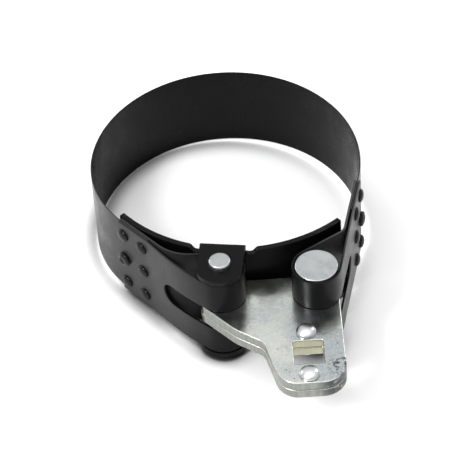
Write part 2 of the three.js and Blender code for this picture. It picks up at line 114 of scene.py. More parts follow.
PIN_RADIUS = 4.76
PIN_RISE = 2.4
PIN_ROUNDING = 0.8
LINK_SHANK_RADIUS = 6.0
LINK_SHANK_REACH = 9.0
BARREL_RADIUS = 9.4
BARREL_STANDS_PROUD = 0.2
BARREL_ROUNDING = 0.55
BUSH_ROUNDING = 0.4
HOLE_CLEARANCE = 0.15

SHOE_THICKNESS = 2.4
SHOE_RADIUS = 66.0
SHOE_LEFT_ANGLE = 44.3
SHOE_RIGHT_ANGLE = 47.0
SHOE_TURN = -8.4
SHOE_FACE = 11.2
WING_HIGH = 41.2
EAR_HALF_WIDTH = 9.9
EAR_LOW = BAND_WIDTH + 0.6
EAR_HIGH = EAR_LOW + SHOE_THICKNESS
EAR_FRONT_RADIUS = 11.2
EAR_BEND_RADIUS = 2.4
NOTCH_WIDTH = 3.8
NOTCH_DEPTH = 2.4
NOTCH_RUN_OUT = 1.6
NOTCH_FLAT = 0.6
NOTCH_SHALLOW = 0.45

# ---- places, from the frame ------------------------------------------------------------------
pin_low, pin_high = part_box("pivot_pin")
pin_centre = (pin_low + pin_high) / 2
band_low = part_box("band")[0]
ROW_SHIFT = Vector((
    pin_centre.x / MM - LEFT_PIVOT.x,
    pin_centre.y / MM - LEFT_PIVOT.y,
    band_low.z / MM,
))


def to_row(x, y, z):
    return (Vector((x, y, z)) + ROW_SHIFT) * MM


def polar(angle, radius):
    turn = math.radians(angle)
    return Vector((radius * math.cos(turn), radius * math.sin(turn)))


def spread(first, last, count):
    """count + 1 evenly spaced values from first to last."""
    return [first + (last - first) * i / count for i in range(count + 1)]


# ---- paths that a strip of steel follows in plan -----------------------------------------------
class StripPath:
    """A pen that draws the middle line of a bent strip, finely enough to look round."""

    def __init__(self, start, heading):
        self.heading = heading
        self.points = [start.copy()]

    def add_points(self, points):
        for point in points:
            if (point - self.points[-1]).length > 1e-6:
                self.points.append(point)

    def line(self, length, step=2.5):
        start = self.points[-1]
        count = max(1, math.ceil(length / step))
        self.add_points([start + polar(self.heading, d) for d in spread(0, length, count)])

    def to_point(self, target):
        gap = target - self.points[-1]
        self.heading = math.degrees(math.atan2(gap.y, gap.x))
        self.line(gap.length)

    def arc(self, radius, turn, step=3.0):
        side = math.copysign(90, turn)
        centre = self.points[-1] + polar(self.heading + side, radius)
        count = max(1, math.ceil(abs(turn) / step))
        self.add_points([centre + polar(self.heading - side + t, radius) for t in spread(0, turn, count)])
        self.heading += turn

    def bezier(self, target, start_heading, end_heading, handle, count=16):
        a = self.points[-1].copy()
        b = a + polar(start_heading, handle)
        c = target - polar(end_heading, handle)
        curve = []
        for t in spread(0, 1, count):
            u = 1 - t
            curve.append(a * u**3 + b * (3 * u * u * t) + c * (3 * u * t * t) + target * t**3)
        self.heading = end_heading
        self.add_points(curve)


class Strip:
    """A finished middle line, measured along its length."""

    def __init__(self, points):
        self.points = points
        self.marks = [0.0]
        for a, b in zip(points, points[1:]):
            self.marks.append(self.marks[-1] + (b - a).length)

    @property
    def length(self):
        return self.marks[-1]

    def at(self, mark):
        i = min(max(bisect.bisect_right(self.marks, mark) - 1, 0), len(self.points) - 2)
        share = (mark - self.marks[i]) / (self.marks[i + 1] - self.marks[i])
        return self.points[i].lerp(self.points[i + 1], share)

    def nearest(self, place):
        """Mark of the point of the line that is closest to a place."""
        samples = spread(0, self.length, 1200)
        return min(samples, key=lambda mark: (self.at(mark) - place).length)


# ---- the two riveted joints --------------------------------------------------------------------
class Joint:
    """Where the strap's two legs and the band's end lie on each other."""

    def __init__(self, angle, side, offset, flatten_from, first_rivet):
        band_offset = offset - STRAP_THICKNESS - LAYER_GAP - BAND_THICKNESS / 2
        self.angle = angle
        self.normal = angle - 90 * side
        self.outer_face = offset - band_offset
        self.leg_layer = self.outer_face - STRAP_THICKNESS / 2
        self.flatten_from = flatten_from
        turn = math.radians(self.normal - flatten_from)
        shrink = (RING_RADIUS - band_offset) / (1 - math.cos(turn))
        self.radius = RING_RADIUS - shrink
        self.tangent = polar(flatten_from, shrink) + polar(self.normal, self.radius)
        self.rivets_at = (first_rivet, first_rivet + RIVET_PITCH)
        self.strap_start = first_rivet - RIVET_EDGE
        self.band_end = self.rivets_at[1] + BAND_TAIL

    def place(self, along, across):
        return self.tangent + polar(self.angle, along) + polar(self.normal, across)


pivot_offset = polar(RIGHT_LEG_ANGLE + 90, 1).dot(RIGHT_PIVOT)
right_leg_offset = pivot_offset + LOOP_MID_RADIUS + STRAP_THICKNESS / 2
left_joint = Joint(LEFT_LEG_ANGLE, side=1, offset=LEFT_LEG_OFFSET, flatten_from=-190, first_rivet=2.3)
right_joint = Joint(RIGHT_LEG_ANGLE, side=-1, offset=right_leg_offset, flatten_from=25, first_rivet=5.4)


# ---- mesh helpers ------------------------------------------------------------------------------
def new_object(name, vertices, faces):
    mesh = bpy.data.meshes.new(name)
    mesh.from_pydata([to_row(*v) for v in vertices], [], faces)
    mesh.validate()
    obj = bpy.data.objects.new(name, mesh)
    bpy.context.scene.collection.objects.link(obj)
    return obj


def apply_modifiers(obj):
    depsgraph = bpy.context.evaluated_depsgraph_get()
    depsgraph.update()
    mesh = bpy.data.meshes.new_from_object(obj.evaluated_get(depsgraph))
    obj.modifiers.clear()
    obj.data = mesh
    return obj


def thicken(obj, thickness):
    solidify = obj.modifiers.new("thickness", "SOLIDIFY")
    solidify.thickness = thickness * MM
    solidify.offset = 0
    solidify.use_even_offset = True
    return apply_modifiers(obj)


def round_edges(obj, width, segments=2):
    bevel = obj.modifiers.new("edges", "BEVEL")
    bevel.width = width * MM
    bevel.segments = segments
    bevel.limit_method = "ANGLE"
    bevel.angle_limit = math.radians(SHARP_ANGLE)
    bevel.use_clamp_overlap = True
    apply_modifiers(obj)
    return smooth(obj)


def smooth(obj):
    obj.data.shade_smooth()
    obj.data.set_sharp_from_angle(angle=math.radians(SHARP_ANGLE))
    weighted = obj.modifiers.new("normals", "WEIGHTED_NORMAL")
    weighted.keep_sharp = True
    weighted.weight = 60
    return apply_modifiers(obj)


def bore(obj, centre, radius):
    """Cuts an upright round hole right through a piece."""
    low, high = -20, 80
    cutter = turned("cutter", [(0, low), (radius, low), (radius, high), (0, high)], centre)
    boolean = obj.modifiers.new("bore", "BOOLEAN")
    boolean.object = cutter
    boolean.operation = "DIFFERENCE"
    boolean.solver = "EXACT"
    apply_modifiers(obj)
    bpy.data.objects.remove(cutter)


def turned(name, profile, centre, height=0.0, direction=None, segments=64):
    """A solid of revolution from (radius, height) pairs. It stands upright, or lies along direction."""
    rings = []
    vertices = []
    for radius, level in profile:
        if radius < 1e-6:
            rings.append([len(vertices)])
            vertices.append(Vector((0, 0, level)))
            continue
        rings.append(list(range(len(vertices), len(vertices) + segments)))
        for i in range(segments):
            spot = polar(360 * i / segments, radius)
            vertices.append(Vector((spot.x, spot.y, level)))
    faces = []
    for low, high in zip(rings, rings[1:]):
        for i in range(segments):
            j = i + 1
            quad = [low[i % len(low)], low[j % len(low)], high[j % len(high)], high[i % len(high)]]
            unique = list(dict.fromkeys(quad))
            if len(unique) > 2:
                faces.append(unique)
    if direction is not None:
        laid_flat = Matrix.Rotation(math.radians(90), 3, "Y")
        lean = Matrix.Rotation(math.radians(direction), 3, "Z") @ laid_flat
        vertices = [lean @ v for v in vertices]
    obj = new_object(name, [(v.x + centre.x, v.y + centre.y, v.z + height) for v in vertices], faces)
    work = bmesh.new()
    work.from_mesh(obj.data)
    bmesh.ops.recalc_face_normals(work, faces=work.faces)
    work.to_mesh(obj.data)
    work.free()
    return obj


def corner(centre_radius, centre_level, size, first, last, steps=6):
    """Points of a rounded corner in a turned profile."""
    points = []
    for angle in spread(first, last, steps):
        spot = polar(angle, size)
        points.append((centre_radius + spot.x, centre_level + spot.y))
    return points


def plate(name, outline, holes, low, high, edge, steps=4):
    """An upright plate whose rims are rounded to a radius of edge. All loops run anticlockwise."""
    turns = spread(0, 90, steps)
    levels = [(a, low + edge - edge * math.sin(math.radians(a)), -1) for a in reversed(turns)]
    levels += [(a, high - edge + edge * math.sin(math.radians(a)), 1) for a in turns]
    work = bmesh.new()
    shading = []
    caps = ([], [])
    for loop, outward in [(outline, 1), *[(hole, -1) for hole in holes]]:
        rings = []
        for angle, level, up in levels:
            inset = edge * (1 - math.cos(math.radians(angle)))
            ring = []
            for i, point in enumerate(loop):
                along = (loop[(i + 1) % len(loop)] - loop[i - 1]).normalized()
                out = Vector((along.y, -along.x)) * outward
                spot = point - out * inset
                ring.append(work.verts.new((spot.x, spot.y, level)))
                flat = out * math.cos(math.radians(angle))
                shading.append(Vector((flat.x, flat.y, up * math.sin(math.radians(angle)))))
            rings.append(ring)
        for lower, upper in zip(rings, rings[1:]):
            for i in range(len(loop)):
                work.faces.new((lower[i - 1], lower[i], upper[i], upper[i - 1]))
        for cap, ring in zip(caps, (rings[0], rings[-1])):
            cap.extend(work.edges.get((ring[i - 1], ring[i])) for i in range(len(ring)))
    for cap in caps:
        bmesh.ops.triangle_fill(work, use_beauty=True, use_dissolve=False, edges=cap)
    bmesh.ops.recalc_face_normals(work, faces=work.faces)
    for vertex in work.verts:
        vertex.co = to_row(*vertex.co)
    mesh = bpy.data.meshes.new(name)
    work.to_mesh(mesh)
    work.free()
    mesh.shade_smooth()
    mesh.normals_split_custom_set_from_vertices(shading)
    obj = bpy.data.objects.new(name, mesh)
    bpy.context.scene.collection.objects.link(obj)
    return obj


def circle(centre, radius, segments=64):
    return [centre + polar(360 * i / segments, radius) for i in range(segments)]


def rounded_outline(corners, step=4.0):
    """An outline from (x, y, fillet radius) corners."""
    points = []
    for i, (x, y, radius) in enumerate(corners):
        here = Vector((x, y))
        before = Vector(corners[i - 1][:2])
        after = Vector(corners[(i + 1) % len(corners)][:2])
        arrive = (here - before).normalized()
        leave = (after - here).normalized()
        turn = math.atan2(arrive.x * leave.y - arrive.y * leave.x, arrive.dot(leave))
        reach = radius * math.tan(abs(turn) / 2)
        side = math.copysign(1, turn)
        start = here - arrive * reach
        centre = start + Vector((-arrive.y, arrive.x)) * side * radius
        first = math.degrees(math.atan2(start.y - centre.y, start.x - centre.x))
        count = max(2, math.ceil(math.degrees(abs(turn)) / step))
        points.extend(centre + polar(first + math.degrees(t), radius) for t in spread(0, turn, count))
    return points


# ---- sheet-metal strips ------------------------------------------------------------------------
def window_half(mark, window):
    """Half the height of a strap's window at a mark along the strap."""
    first, last, nose = window
    if mark <= first:
        return 0.0
    size, depth = (nose, mark - first) if mark - first < nose else (SLOT_CORNER, last - mark)
    if depth >= size:
        return SLOT_HALF
    depth = max(depth, 0.0)
    return SLOT_HALF - size + math.sqrt(size**2 - (size - depth) ** 2)


def strip_sheet(name, strip, window=None, rows=6):
    """A bent strip as one sheet of quads. window is (first mark, last mark, nose radius)."""
    shortest_quad = 0.04
    marks = set(strip.marks)
    if window:
        first, last, nose = window
        marks |= {first + nose * (1 - math.cos(math.radians(a))) for a in spread(0, 90, 14)}
        marks |= {last - SLOT_CORNER * (1 - math.cos(math.radians(a))) for a in spread(0, 90, 5)}
    columns = []
    for mark in sorted(marks):
        pinned = window and min(abs(mark - window[0]), abs(mark - window[1])) < 1e-9
        if not columns or mark - columns[-1] > shortest_quad:
            columns.append(mark)
        elif pinned:
            columns[-1] = mark
    vertices = []
    grid = []
    for mark in columns:
        place = strip.at(mark)
        half = window_half(mark, window) if window else 0.0
        low, high = SLOT_MIDDLE - half, SLOT_MIDDLE + half
        levels = spread(0, low, rows)
        levels += spread(low, high, 2)[1:]
        levels += spread(high, BAND_WIDTH, rows)[1:]
        column = []
        for i, level in enumerate(levels):
            if half < 1e-6 and rows < i <= rows + 2:
                column.append(column[-1])
                continue
            column.append(len(vertices))
            vertices.append((place.x, place.y, level))
        grid.append(column)
    faces = []
    for i, (a, b) in enumerate(zip(grid, grid[1:])):
        middle = (columns[i] + columns[i + 1]) / 2
        in_window = window and window[0] < middle < window[1]
        for j in range(len(a) - 1):
            if in_window and rows <= j < rows + 2:
                continue
            face = list(dict.fromkeys([a[j], b[j], b[j + 1], a[j + 1]]))
            if len(face) > 2:
                faces.append(face)
    return new_object(name, vertices, faces)


def make_band():
    """The whole band as one sheet, so that its two halves shade as one."""
    left, right = left_joint, right_joint
    path = StripPath(right.place(right.band_end, 0), right.angle + 180)
    path.line(right.band_end)
    path.arc(right.radius, right.flatten_from - right.normal, 1.5)
    path.arc(RING_RADIUS, BACK_ANGLE - right.flatten_from, 1.25)
    path.arc(RING_RADIUS, 360 + left.flatten_from - BACK_ANGLE, 1.25)
    path.arc(left.radius, left.normal - left.flatten_from, 1.5)
    path.line(left.band_end)
    sheet = strip_sheet("band_whole", Strip(path.points))
    return round_edges(thicken(sheet, BAND_THICKNESS), BAND_ROUNDING)


def take_half(whole, name, side):
    """The faces on one side of the ring's back, with the shading that they have in the whole."""
    source = whole.data
    seam = to_row(0, 0, 0).x
    faces = []
    normals = []
    for face in source.polygons:
        if (face.center.x < seam) == (side is left_joint):
            faces.append(list(face.vertices))
            normals.extend(source.corner_normals[i].vector.copy() for i in face.loop_indices)
    used = sorted({v for face in faces for v in face})
    renumbered = {old: new for new, old in enumerate(used)}
    renumbered_faces = [[renumbered[v] for v in face] for face in faces]
    mesh = bpy.data.meshes.new(name)
    mesh.from_pydata([source.vertices[v].co for v in used], [], renumbered_faces)
    mesh.shade_smooth()
    mesh.normals_split_custom_set(normals)
    obj = bpy.data.objects.new(name, mesh)
    bpy.context.scene.collection.objects.link(obj)
    return obj


def leaves_loop(strip, pivot, after):
    """Mark where the strip comes out of the cut round a loop."""
    samples = [m for m in spread(0, strip.length, 2400) if m > after]
    return next(m for m in samples if (strip.at(m) - pivot).length > LOOP_CUT_RADIUS)


def crossing(p, heading_p, q, heading_q):
    """Distance from p along its heading to the line through q."""
    a = polar(heading_p, 1)
    b = polar(heading_q, 1)
    gap = q - p
    return (gap.x * -b.y + gap.y * b.x) / (a.x * -b.y + a.y * b.x)


def close_on_band(path, side, heading, bend_radius):
    """Bends the strip out of its loop and lays its second leg along the joint's inner side.

    heading is the second leg's, counted on through the loop's turn.
    """
    inner_start = side.place(side.strap_start, -side.leg_layer)
    bend = heading - path.heading
    tangent_length = bend_radius * math.tan(math.radians(abs(bend) / 2))
    path.line(crossing(path.points[-1], path.heading, inner_start, side.angle) - tangent_length)
    path.arc(bend_radius, bend)
    path.to_point(inner_start)


def form_strap(name, path, pivot, nose, on_loop):
    """The strap as sheet metal. Its window runs from the nose to where the strip leaves the loop's cut.

    on_loop is the direction from the pivot of a point of the loop.
    """
    strip = Strip(path.points)
    loop_mark = strip.nearest(pivot + polar(on_loop, LOOP_MID_RADIUS))
    window = (strip.nearest(nose) - SLOT_HALF, leaves_loop(strip, pivot, loop_mark), SLOT_HALF)
    return round_edges(thicken(strip_sheet(name, strip, window), STRAP_THICKNESS), STRAP_ROUNDING)


def make_left_strap():
    side = left_joint
    loop_start, loop_turn, handle, bow = 230, 222, 14, 6
    nose_back, nose_out, bend_radius = 20.5, 1.7, 20
    touch = LEFT_PIVOT + polar(loop_start, LOOP_MID_RADIUS)
    path = StripPath(side.place(side.strap_start, side.leg_layer), side.angle)
    path.to_point(side.place(side.band_end, side.leg_layer))
    path.bezier(touch, side.angle - bow, loop_start - 270, handle)
    path.heading = loop_start + 90
    path.arc(LOOP_MID_RADIUS, loop_turn)
    close_on_band(path, side, side.angle + 540, bend_radius)
    nose = touch + polar(side.angle + 180, nose_back) + polar(side.normal, nose_out)
    return form_strap("left_strap_formed", path, LEFT_PIVOT, nose, loop_start + 90)


def make_right_strap():
    side = right_joint
    loop_turn, nose_back, bend_radius = -225, 20.8, 5
    touch = RIGHT_PIVOT + polar(side.normal, LOOP_MID_RADIUS)
    path = StripPath(side.place(side.strap_start, side.leg_layer), side.angle)
    path.to_point(touch)
    path.heading = side.angle
    path.arc(LOOP_MID_RADIUS, loop_turn)
    close_on_band(path, side, side.angle - 180, bend_radius)
    nose = touch + polar(side.angle + 180, nose_back)
    return form_strap("right_strap_formed", path, RIGHT_PIVOT, nose, side.normal - 90)


# ---- shoe --------------------------------------------------------------------------------------
def notch_edge(x):
    """Top edge of the shoe's wall at x, with a rounded notch either side of the ear."""
    inner, outer = EAR_HALF_WIDTH, EAR_HALF_WIDTH + NOTCH_WIDTH
    reach = abs(x)
    if not inner < reach < outer + NOTCH_RUN_OUT:
        return WING_HIGH
    centre = (inner + outer) / 2
    half = NOTCH_WIDTH / 2
    if reach <= centre + NOTCH_FLAT:
        dip = math.sqrt(max(0.0, 1 - ((centre - reach) / half) ** 2)) if reach < centre else 1.0
        return WING_HIGH - NOTCH_DEPTH * (NOTCH_SHALLOW + (1 - NOTCH_SHALLOW) * dip)
    share = (reach - centre - NOTCH_FLAT) / (outer + NOTCH_RUN_OUT - centre - NOTCH_FLAT)
    ease = share * share * (3 - 2 * share)
    return WING_HIGH - NOTCH_DEPTH * (1 - ease)


def ear_profile():
    """(forward, level) points of an ear's middle surface, from the wall up and over the straps."""
    mid = SHOE_FACE + 0.4 + SHOE_THICKNESS / 2
    top = EAR_HIGH - SHOE_THICKNESS / 2
    points = [(mid, top - EAR_BEND_RADIUS)]
    for angle in spread(0, 90, 8):
        spot = polar(angle, EAR_BEND_RADIUS)
        points.append((mid - EAR_BEND_RADIUS + spot.x, top - EAR_BEND_RADIUS + spot.y))
    return points[1:]


def make_shoe():
    mid_radius = SHOE_RADIUS + SHOE_THICKNESS / 2
    centre_y = SHOE_FACE + SHOE_RADIUS + SHOE_THICKNESS
    inner = EAR_HALF_WIDTH
    outer = EAR_HALF_WIDTH + NOTCH_WIDTH + NOTCH_RUN_OUT

    def half_columns(wing_angle):
        start = math.degrees(math.asin(outer / mid_radius))
        reaches = [inner * math.sin(math.radians(a)) for a in spread(0, 90, 12)]
        reaches += spread(inner, outer, 14)[1:]
        wing = spread(start, wing_angle, 26)[1:]
        return reaches + [mid_radius * math.sin(math.radians(a)) for a in wing]

    columns = [-x for x in reversed(half_columns(SHOE_LEFT_ANGLE)[1:])] + half_columns(SHOE_RIGHT_ANGLE)
    wall_rows = 12
    bend = ear_profile()
    flat_rows = 14
    turn = Matrix.Rotation(math.radians(SHOE_TURN), 2)

    def wall_y(x):
        return centre_y - math.sqrt(mid_radius**2 - x**2)

    vertices = []
    grid = []
    for x in columns:
        column = {}
        in_ear = abs(x) <= inner + 1e-6
        edge = bend[0][1] if in_ear else notch_edge(x)
        if not in_ear and abs(x) < inner + 0.3:
            edge = min(edge, WING_HIGH - NOTCH_SHALLOW * NOTCH_DEPTH)
        for row, level in enumerate(spread(BAND_WIDTH - edge, edge, 2 * wall_rows)):
            lean = min(1.0, abs(level - MID_HEIGHT) / (MID_HEIGHT - 3)) ** 2 if in_ear else 0.0
            y = wall_y(x) * (1 - lean) + bend[0][0] * lean
            column["wall", row] = len(vertices)
            vertices.append((x, y, level))
        if in_ear:
            front = -math.sqrt(EAR_FRONT_RADIUS**2 - x**2)
            path = bend[1:] + [(y, bend[-1][1]) for y in spread(bend[-1][0], front, flat_rows)[1:]]
            for end in ("top", "foot"):
                for row, (y, level) in enumerate(path):
                    column[end, row] = len(vertices)
                    vertices.append((x, y, level if end == "top" else BAND_WIDTH - level))
        grid.append(column)
    faces = []
    for a, b in zip(grid, grid[1:]):
        for row in range(2 * wall_rows):
            faces.append([a["wall", row], b["wall", row], b["wall", row + 1], a["wall", row + 1]])
        if ("top", 0) not in a or ("top", 0) not in b:
            continue
        for end, root in (("top", 2 * wall_rows), ("foot", 0)):
            rungs = [("wall", root)] + [(end, row) for row in range(len(bend) - 1 + flat_rows)]
            for p, q in zip(rungs, rungs[1:]):
                face = [a[p], b[p], b[q], a[q]]
                faces.append(face if end == "top" else face[::-1])
    placed = []
    for x, y, level in vertices:
        spot = turn @ Vector((x, y)) + LEFT_PIVOT
        placed.append((spot.x, spot.y, level))
    obj = thicken(new_object("shoe_pressed", placed, faces), SHOE_THICKNESS)
    bore(obj, LEFT_PIVOT, PIN_RADIUS + HOLE_CLEARANCE)
    return round_edges(obj, SHOE_ROUNDING, 3)


# ---- rivets, lever, pins ------------------------------------------------------------------------
def dome(radius, rise, base, steps=12):
    return [(radius * math.cos(math.radians(a)), base + rise * math.sin(math.radians(a)))
            for a in spread(0, 90, steps)][:-1] + [(0, base + rise)]


def wide_head(base):
    """Profile of a flat head with a shallow dish in its top."""
    wall_top = base + WIDE_HEAD_WALL
    dish = ((2.0, 1.9), (1.75, 1.7), (0, 1.55))
    head = [(WIDE_HEAD_RADIUS, base), (WIDE_HEAD_RADIUS, wall_top)]
    head += corner(WIDE_HEAD_RADIUS - WIDE_HEAD_ROUNDING, wall_top, WIDE_HEAD_ROUNDING, 0, 65)
    return head + [(radius, base + rise) for radius, rise in dish]


def domed_head(base):
    wall_top = base + DOMED_HEAD_WALL
    head = [(DOMED_HEAD_RADIUS, base), (DOMED_HEAD_RADIUS, wall_top)]
    return head + dome(DOMED_HEAD_RADIUS - DOME_INSET, DOMED_HEAD_RISE, wall_top)


def make_band_rivet(name, side, along, height, wide):
    """A rivet that lies across a joint, countersunk flush with the inner leg."""
    outside = side.outer_face + LAYER_GAP
    inside = -side.outer_face
    head = wide_head(outside) if wide else domed_head(outside)
    profile = [(0, inside), (RIVET_SINK, inside), (RIVET_SHANK, inside + RIVET_SINK_DEPTH)]
    profile += [(RIVET_SHANK, outside)] + head
    obj = turned(name, profile, side.place(along, 0), height, side.normal, segments=48)
    return smooth(obj)


def make_plate(name, low, high):
    """One of the lever's two plates, with its drive square and the holes for pins and rivets."""
    outline = rounded_outline([
        (-13.8, -72.7, 3.5), (-0.5, -87.1, 22), (11.6, -95.5, 7), (17.8, -120.2, 10),
        (45.9, -120.2, 10.5), (45.9, -58, 9), (-13.8, -58, 7.5),
    ])
    half = DRIVE_SQUARE / 2
    x, y = DRIVE_CENTRE
    square = rounded_outline([
        (x - half, y - half, DRIVE_CORNER), (x + half, y - half, DRIVE_CORNER),
        (x + half, y + half, DRIVE_CORNER), (x - half, y + half, DRIVE_CORNER),
    ], 15)
    holes = [
        square,
        circle(LEFT_PIVOT, PIN_RADIUS + HOLE_CLEARANCE),
        circle(RIGHT_PIVOT, LINK_SHANK_RADIUS + HOLE_CLEARANCE),
        *[circle(centre, LEVER_RIVET_SHANK + HOLE_CLEARANCE, 48) for centre in LEVER_RIVETS],
    ]
    return plate(name, outline, holes, low, high, PLATE_ROUNDING)


def make_lever_rivet(name, centre):
    """A rivet through both plates, with a low dome on each side."""
    top = PLATES_TOP + LAYER_GAP
    rim = 0.3
    upper = [(LEVER_RIVET_HEAD, top), (LEVER_RIVET_HEAD, top + rim)]
    upper += dome(LEVER_RIVET_HEAD - DOME_INSET, LEVER_RIVET_RISE - rim, top + rim, 14)
    lower = [(r, BAND_WIDTH - z) for r, z in reversed(upper)]
    profile = lower + [(LEVER_RIVET_SHANK, BAND_WIDTH - top), (LEVER_RIVET_SHANK, top)] + upper
    return smooth(turned(name, profile, centre, segments=72))


def make_pivot_pin(name):
    """The pin through the shoe's ears, with rounded rims."""
    high = EAR_HIGH + PIN_RISE
    low = BAND_WIDTH - high
    edge = PIN_ROUNDING
    profile = [(0, low)] + corner(PIN_RADIUS - edge, low + edge, edge, -90, 0)
    profile += corner(PIN_RADIUS - edge, high - edge, edge, 0, 90) + [(0, high)]
    return smooth(turned(name, profile, LEFT_PIVOT))


def make_bush(name, low, high):
    """A tube that fills the left strap's loop round the pivot pin."""
    hole = PIN_RADIUS + HOLE_CLEARANCE
    edge = BUSH_ROUNDING
    profile = [(hole, low)] + corner(BARREL_RADIUS - edge, low + edge, edge, -90, 0)
    profile += corner(BARREL_RADIUS - edge, high - edge, edge, 0, 90) + [(hole, high), (hole, low)]
    return smooth(turned(name, profile, LEFT_PIVOT, segments=72))


def make_link_pin(name):
    """A stepped pin: its wide upper barrel fills the right strap's loop above the lever."""
    shoulder = PLATES_TOP + LAYER_GAP
    tip = PLATES_FOOT - LINK_SHANK_REACH
    top, edge = BAND_WIDTH + BARREL_STANDS_PROUD, BARREL_ROUNDING
    profile = [(0, tip), (LINK_SHANK_RADIUS, tip)]
    profile += [(LINK_SHANK_RADIUS, shoulder), (BARREL_RADIUS, shoulder)]
    profile += corner(BARREL_RADIUS - edge, top - edge, edge, 0, 80)
    profile += [(7.6, top - 0.02), (0, top - 0.1)]
    return smooth(turned(name, profile, RIGHT_PIVOT, segments=96))


def make_link_collar(name):
    """The cup that completes the link pin's barrel below the lever."""
    high = PLATES_FOOT - LAYER_GAP
    tip = high - LINK_SHANK_REACH
    hole, low, edge = LINK_SHANK_RADIUS + HOLE_CLEARANCE, -BARREL_STANDS_PROUD, BARREL_ROUNDING
    profile = [(0, low)] + corner(BARREL_RADIUS - edge, low + edge, edge, -90, 0)
    profile += [(BARREL_RADIUS, high), (hole, high), (hole, tip), (0, tip)]
    return smooth(turned(name, profile, RIGHT_PIVOT, segments=96))


# ---- materials -----------------------------------------------------------------------------------
# Places are in the wrench's own plan, reaches are in metres and noise scales are per metre. A reach is
# the distance from a place within which a mark is full, and the distance at which it has gone.
# Reach of the painted reflection round each joint's middle.
REFLECTION_REACH = (0.025, 0.052)
DRIVE_REACH = (0.0098, 0.0108)
FACE_MARKS_AT = (44.5, -111.5, MID_HEIGHT + 4)
FACE_MARKS_REACH = (0.003, 0.0085)
WALL_SCUFFS_AT = (44.0, -117.0, MID_HEIGHT + 1.5)
WALL_SCUFFS_REACH = (0.006, 0.014)


class Shader:
    """A material with one principled shader, and short names for the nodes used here."""

    def __init__(self, name):
        self.material = bpy.data.materials.new(name)
        self.material.use_nodes = True
        self.tree = self.material.node_tree
        self.tree.nodes.clear()
        self.surface = self.tree.nodes.new("ShaderNodeBsdfPrincipled")
        out = self.tree.nodes.new("ShaderNodeOutputMaterial")
        self.tree.links.new(self.surface.outputs[0], out.inputs[0])
        self.place = self.tree.nodes.new("ShaderNodeTexCoord").outputs["Object"]

    def put(self, value, socket):
        if isinstance(value, bpy.types.NodeSocket):
            self.tree.links.new(value, socket)
        elif value is not None:
            socket.default_value = value

    def set(self, **values):
        for name, value in values.items():
            self.put(value, self.surface.inputs[name.replace("_", " ")])

    def noise(self, scale, detail=3.0, roughness=0.5, stretch=None):
        node = self.tree.nodes.new("ShaderNodeTexNoise")
        self.put(self.stretched(stretch), node.inputs["Vector"])
        self.put(scale, node.inputs["Scale"])
        self.put(detail, node.inputs["Detail"])
        self.put(roughness, node.inputs["Roughness"])
        return node.outputs[0]

    def stretched(self, stretch):
        if stretch is None:
            return self.place
        node = self.tree.nodes.new("ShaderNodeMapping")
        self.put(self.place, node.inputs["Vector"])
        node.inputs["Scale"].default_value = stretch
        return node.outputs[0]

    def spots(self, scale):
        node = self.tree.nodes.new("ShaderNodeTexVoronoi")
        self.put(self.place, node.inputs["Vector"])
        self.put(scale, node.inputs["Scale"])
        return node.outputs["Distance"]

    def remap(self, value, low, high, to_low=0.0, to_high=1.0):
        node = self.tree.nodes.new("ShaderNodeMapRange")
        node.interpolation_type = "SMOOTHSTEP"
        for item, socket in zip((value, low, high, to_low, to_high), node.inputs[:5]):
            self.put(item, socket)
        return node.outputs[0]

    def math(self, operation, a, b=None):
        node = self.tree.nodes.new("ShaderNodeMath")
        node.operation = operation
        self.put(a, node.inputs[0])
        self.put(b, node.inputs[1])
        return node.outputs[0]

    def mix(self, share, a, b):
        node = self.tree.nodes.new("ShaderNodeMix")
        node.data_type = "RGBA"
        self.put(share, node.inputs["Factor"])
        self.put(a, node.inputs[6])
        self.put(b, node.inputs[7])
        return node.outputs[2]

    def bump(self, height, distance, strength=1.0, under=None):
        node = self.tree.nodes.new("ShaderNodeBump")
        self.put(height, node.inputs["Height"])
        self.put(distance, node.inputs["Distance"])
        self.put(strength, node.inputs["Strength"])
        self.put(under, node.inputs["Normal"])
        return node.outputs[0]

    def steepness(self):
        """0 on level faces and 1 on upright ones."""
        geometry = self.tree.nodes.new("ShaderNodeNewGeometry")
        split = self.tree.nodes.new("ShaderNodeSeparateXYZ")
        self.put(geometry.outputs["True Normal"], split.inputs[0])
        return self.remap(self.math("ABSOLUTE", split.outputs[2]), 0.75, 0.3)

    def edges(self, low, high):
        """1 along outside edges."""
        geometry = self.tree.nodes.new("ShaderNodeNewGeometry")
        return self.remap(geometry.outputs["Pointiness"], low, high)

    def looking_out(self, centre):
        """1 on faces that look away from a point of the row frame, and 0 on those that face it."""
        geometry = self.tree.nodes.new("ShaderNodeNewGeometry")
        ray = self.tree.nodes.new("ShaderNodeVectorMath")
        ray.operation = "SUBTRACT"
        self.put(self.place, ray.inputs[0])
        ray.inputs[1].default_value = centre
        facing = self.tree.nodes.new("ShaderNodeVectorMath")
        facing.operation = "DOT_PRODUCT"
        self.put(geometry.outputs["Normal"], facing.inputs[0])
        self.put(ray.outputs[0], facing.inputs[1])
        return self.remap(facing.outputs["Value"], 0.0, 0.03)

    def openness(self, reach):
        """1 on open ground, falling towards 0 where something stands close by."""
        node = self.tree.nodes.new("ShaderNodeAmbientOcclusion")
        node.inputs["Distance"].default_value = reach
        return node.outputs["AO"]

    def near(self, centre, inside, outside):
        """1 within a distance of a point of the row frame, falling to 0 outside."""
        node = self.tree.nodes.new("ShaderNodeVectorMath")
        node.operation = "DISTANCE"
        self.put(self.place, node.inputs[0])
        node.inputs[1].default_value = centre
        return self.remap(node.outputs["Value"], outside, inside)


def grey(level, tint=(1.0, 1.0, 1.0)):
    return (level * tint[0], level * tint[1], level * tint[2], 1.0)


